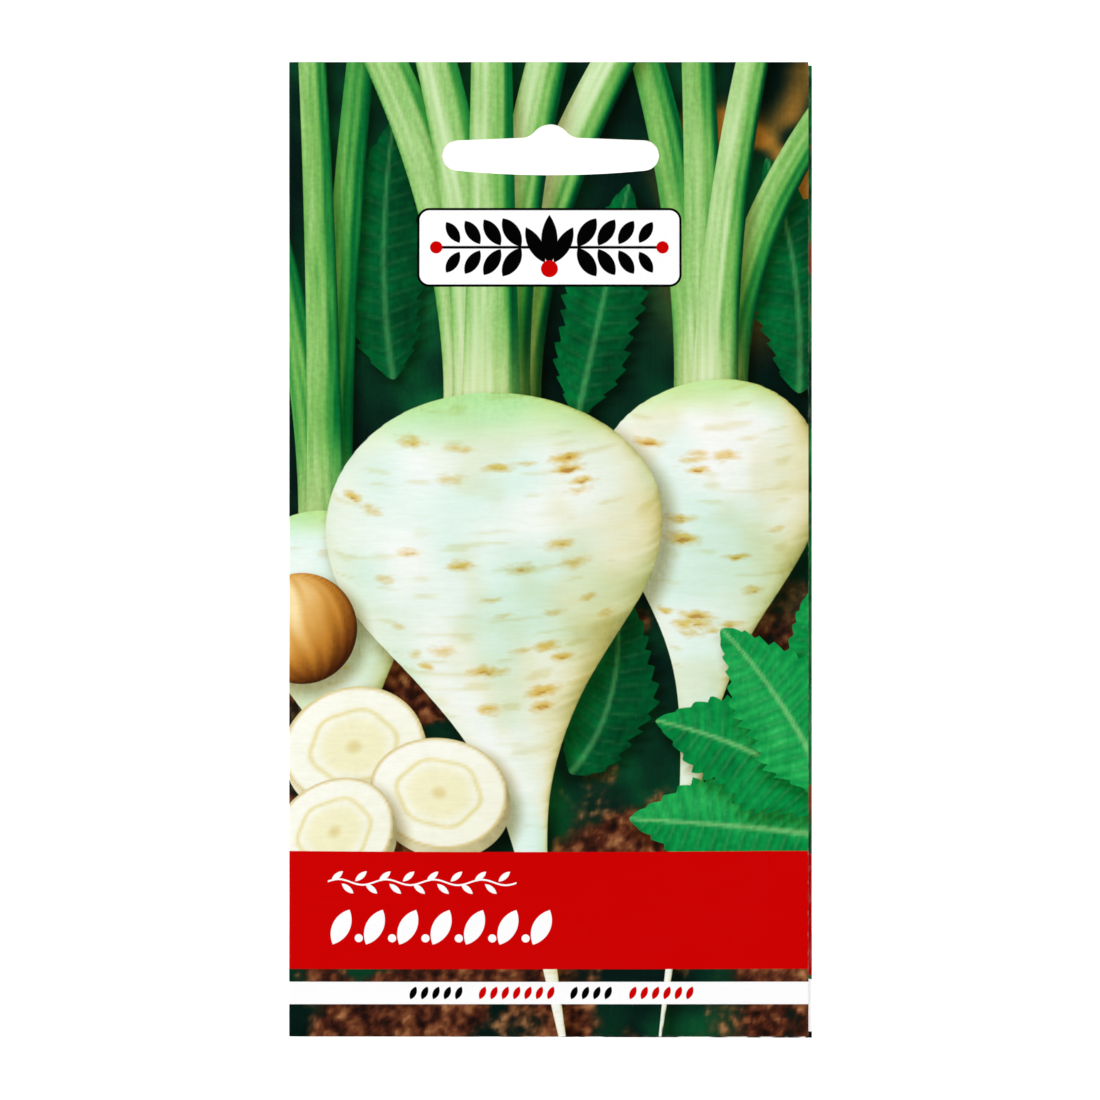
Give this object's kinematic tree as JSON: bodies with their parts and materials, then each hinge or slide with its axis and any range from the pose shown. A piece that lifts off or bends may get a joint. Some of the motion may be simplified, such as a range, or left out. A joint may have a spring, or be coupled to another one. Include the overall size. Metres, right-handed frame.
{
  "type": "seed packet",
  "caption": "Flat paper seed packet, folded on one side and glued on the others, with a hanging slot in its header and loose seeds sealed in its pocket.",
  "frame": {"origin": "middle of the packet's outline, on the surface that its back lies on", "axes": "+Z out of the printed front, +Y toward the hanging slot, +X toward the glued side, away from the fold"},
  "size_m": [0.08, 0.1492, 0.0033],
  "materials": {
    "printed_paper": "satin",
    "glue": "satin",
    "seed": "matte"
  },
  "bodies": {
    "root": {"packet_sheet": "printed_paper", "header_seal": "glue", "side_seal": "glue", "bottom_seal": "glue", "seeds": "seed"}
  },
  "joints": []
}
